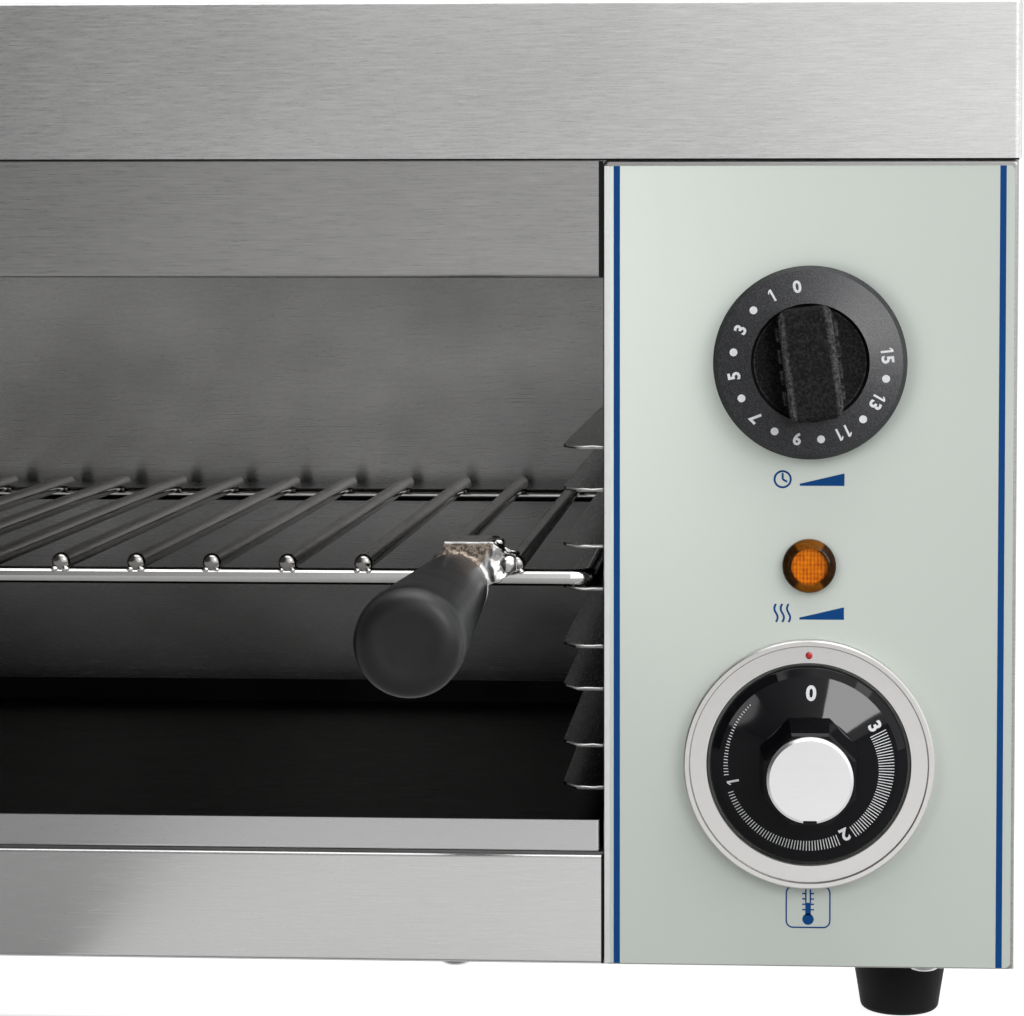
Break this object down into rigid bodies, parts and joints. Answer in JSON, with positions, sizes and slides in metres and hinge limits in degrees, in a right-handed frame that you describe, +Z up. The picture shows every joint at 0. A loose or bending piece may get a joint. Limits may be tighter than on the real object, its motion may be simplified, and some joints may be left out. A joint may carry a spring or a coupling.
{
  "type": "salamander grill",
  "caption": "Open-fronted electric top-heat grill with a handled sliding rack, side runners, crumb tray and a control column.",
  "frame": {"origin": "on the surface that the feet stand on, under the middle of the whole bounding box", "axes": "+X to the right seen from the front, +Y to the back, +Z up"},
  "size_m": [0.6004, 0.4246, 0.2796],
  "materials": {
    "outer_steel": "horizontally brushed stainless sheet",
    "base_steel": "plain stainless sheet",
    "cavity_steel": "brushed stainless sheet, a little darkened",
    "overlay_green": "pale grey-green printed face",
    "chrome_rod": "bright plating",
    "black_phenolic": "fine-textured black moulding",
    "gloss_black": "polished black moulding",
    "satin_ring": "satin",
    "red_jewel": "red moulding",
    "amber_lens": "amber moulding",
    "element_sheath": "oxidised tube sheath",
    "brass_fitting": "turned brass",
    "ceramic_white": "white insulating moulding",
    "mineral_wool": "mineral wool",
    "device_case": "moulded case",
    "zinc_steel": "zinc plated steel",
    "black_plastic": "moulded nylon",
    "lead_wire": "glass-sleeved leads",
    "foot_rubber": "black rubber",
    "screw_steel": "bright dome heads"
  },
  "bodies": {
    "housing": {"base_plate": "base_steel", "base_screws": "screw_steel", "cable_gland": "black_plastic", "cavity_back_wall": "cavity_steel", "cavity_floor": "cavity_steel", "cavity_wall_left": "cavity_steel", "cavity_wall_right": "cavity_steel", "control_overlay": "overlay_green", "control_panel": "outer_steel", "earth_stud": "brass_fitting", "element_bushes": "brass_fitting", "element_hangers": "cavity_steel", "element_terminals": "ceramic_white", "feet": "foot_rubber", "foot_screws": "screw_steel", "gland_nut": "black_plastic", "heat_bezel": "satin_ring", "heating_elements": "element_sheath", "index_jewel": "red_jewel", "insulation_left": "mineral_wool", "insulation_top": "mineral_wool", "lid_screws": "screw_steel", "lower_front_panel": "outer_steel", "pilot_body": "device_case", "pilot_clip": "zinc_steel", "pilot_lens": "amber_lens", "rack_runners_left": "cavity_steel", "rack_runners_right": "cavity_steel", "rear_panel": "outer_steel", "rear_screws": "screw_steel", "reflector": "cavity_steel", "regulator_body": "device_case", "side_panel_left": "outer_steel", "side_panel_right": "outer_steel", "side_screws": "screw_steel", "terminal_block": "ceramic_white", "timer_body": "device_case", "top_cover": "outer_steel", "top_deck": "base_steel", "upper_front_guard": "outer_steel", "wiring": "lead_wire"},
    "grill_rack": {"rack_frame": "chrome_rod", "rack_rods": "chrome_rod", "handle_brackets": "chrome_rod", "handle_grips": "black_phenolic", "handle_screws": "chrome_rod", "grip_studs": "brass_fitting"},
    "crumb_tray": {"crumb_tray": "cavity_steel"},
    "timer_knob": {"timer_knob": "black_phenolic", "timer_shaft": "zinc_steel"},
    "heat_knob": {"heat_dial": "gloss_black", "knob_cap": "satin_ring", "regulator_shaft": "zinc_steel"}
  },
  "joints": [
    {"name": "rack_slide", "type": "slide", "parent": "housing", "child": "grill_rack", "axis": [0, -1, 0], "range_m": [0, 0.24]},
    {"name": "tray_slide", "type": "slide", "parent": "housing", "child": "crumb_tray", "axis": [0, -1, 0], "range_m": [0, 0.23]},
    {"name": "timer_turn", "type": "hinge", "parent": "housing", "child": "timer_knob", "pos_m": [0.2426, -0.11454, 0.18282], "axis": [0, 1, 0], "range_deg": [0, 266]},
    {"name": "heat_turn", "type": "hinge", "parent": "housing", "child": "heat_knob", "pos_m": [0.2426, -0.11454, 0.07444], "axis": [0, 1, 0], "range_deg": [0, 302]}
  ]
}
